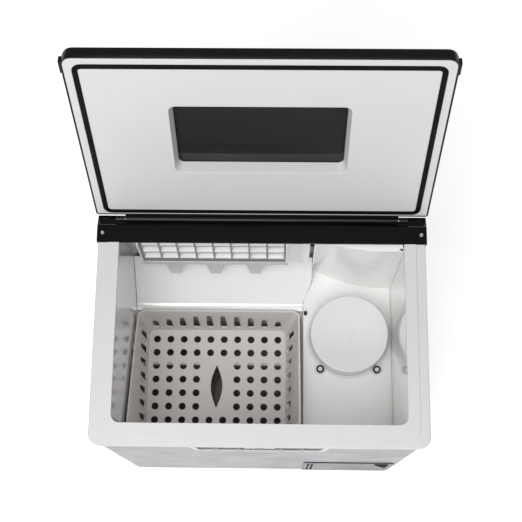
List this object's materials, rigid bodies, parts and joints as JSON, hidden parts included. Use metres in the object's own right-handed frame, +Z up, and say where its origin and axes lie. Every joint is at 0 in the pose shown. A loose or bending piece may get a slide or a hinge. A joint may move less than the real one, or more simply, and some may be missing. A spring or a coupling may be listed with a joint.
{
  "type": "portable ice maker",
  "caption": "Countertop ice maker with a hinged windowed lid, a lift-out perforated ice basket, an ice-forming grid above a chute and a front control panel.",
  "frame": {"origin": "bottom centre of the whole object with its lid open", "axes": "+Z up, -Y towards the front with the control panel, +X to the right seen from the front"},
  "size_m": [0.3644, 0.336, 0.6086],
  "materials": {
    "black_rubber": "matt moulded rubber",
    "galvanised_steel": "galvanised sheet",
    "silver_panel": "satin silver coated sheet",
    "white_plastic": "moulded, semi-gloss",
    "liner_plastic": "moulded, glossy",
    "white_hose": "silicone hose",
    "lid_liner_plastic": "moulded, satin",
    "black_gloss_plastic": "glossy black",
    "smoked_acrylic": "smoked clear acrylic, polished",
    "basket_plastic": "moulded, satin",
    "steel": "bright screws and pins",
    "nickel_plate": "nickel plated",
    "button_plastic": "satin grey",
    "dark_plastic": "moulded, satin",
    "black_paint": "satin black enamel",
    "condenser_aluminium": "plain fins",
    "copper": "drawn copper tube",
    "board": "solder mask"
  },
  "bodies": {
    "cabinet": {"foot_front_left": "black_rubber", "foot_front_right": "black_rubber", "foot_rear_left": "black_rubber", "foot_rear_right": "black_rubber", "base_pan": "galvanised_steel", "front_panel": "silver_panel", "left_side_panel": "silver_panel", "right_side_panel": "silver_panel", "rear_panel": "silver_panel", "top_frame": "white_plastic", "hinge_cover": "black_gloss_plastic", "hinge_pin_left": "steel", "hinge_screw_left": "steel", "hinge_pin_right": "steel", "hinge_screw_right": "steel", "cabin_liner": "liner_plastic", "deck_cover": "liner_plastic", "dome_cover": "white_plastic", "dome_screw_left": "steel", "dome_screw_right": "steel", "ice_chute": "liner_plastic", "evaporator_grid": "nickel_plate", "evaporator_bracket_left": "white_plastic", "evaporator_bracket_right": "white_plastic", "spray_bar": "white_plastic", "drip_gutter": "white_plastic", "ice_sensor": "dark_plastic", "control_bezel": "white_plastic", "control_fascia": "dark_plastic", "display_lens": "smoked_acrylic", "control_board": "board", "front_access_panel": "silver_panel", "access_pull": "black_paint", "compressor": "black_paint", "compressor_mount": "galvanised_steel", "condenser": "condenser_aluminium", "fan_shroud": "black_paint", "fan_motor": "black_paint", "water_pump": "dark_plastic", "suction_tube": "black_rubber", "discharge_tube": "copper", "water_hose": "white_hose", "drain_spout": "white_plastic", "main_board": "board", "power_inlet": "dark_plastic"},
    "lid": {"lid_shell": "black_gloss_plastic", "lid_liner": "lid_liner_plastic", "lid_gasket": "black_rubber", "lid_window": "smoked_acrylic"},
    "basket": {"ice_basket": "basket_plastic"},
    "fan": {"fan_rotor": "dark_plastic"},
    "impeller": {"pump_impeller": "white_plastic"},
    "cap": {"drain_cap": "black_rubber"},
    "button_1": {"button_1": "button_plastic"},
    "button_2": {"button_2": "button_plastic"},
    "button_3": {"button_3": "button_plastic"},
    "button_4": {"button_4": "button_plastic"},
    "button_5": {"button_5": "button_plastic"}
  },
  "joints": [
    {"name": "lid_hinge", "type": "hinge", "parent": "cabinet", "child": "lid", "pos_m": [0, 0.07651, 0.37], "axis": [1, 0, 0], "range_deg": [0, 107]},
    {"name": "basket_lift", "type": "slide", "parent": "cabinet", "child": "basket", "axis": [0, 0, -1], "range_m": [-0.25, 0]},
    {"name": "button_1_press", "type": "slide", "parent": "cabinet", "child": "button_1", "axis": [0, 1, 0], "range_m": [0, 0.0012], "stiffness_N_per_m": 400, "springref_m": -0.0005},
    {"name": "button_2_press", "type": "slide", "parent": "cabinet", "child": "button_2", "axis": [0, 1, 0], "range_m": [0, 0.0012], "stiffness_N_per_m": 400, "springref_m": -0.0005},
    {"name": "button_3_press", "type": "slide", "parent": "cabinet", "child": "button_3", "axis": [0, 1, 0], "range_m": [0, 0.0012], "stiffness_N_per_m": 400, "springref_m": -0.0005},
    {"name": "button_4_press", "type": "slide", "parent": "cabinet", "child": "button_4", "axis": [0, 1, 0], "range_m": [0, 0.0012], "stiffness_N_per_m": 400, "springref_m": -0.0005},
    {"name": "button_5_press", "type": "slide", "parent": "cabinet", "child": "button_5", "axis": [0, 1, 0], "range_m": [0, 0.0012], "stiffness_N_per_m": 400, "springref_m": -0.0005},
    {"name": "fan_spin", "type": "hinge", "parent": "cabinet", "child": "fan", "pos_m": [-0.06075, 0.02601, 0.1036], "axis": [0, 1, 0], "continuous": true},
    {"name": "impeller_spin", "type": "hinge", "parent": "cabinet", "child": "impeller", "pos_m": [0.02098, -0.11298, 0.095], "axis": [0, 0, 1], "continuous": true},
    {"name": "drain_cap_pull", "type": "slide", "parent": "cabinet", "child": "cap", "axis": [0, 1, 0], "range_m": [0, 0.02]}
  ]
}
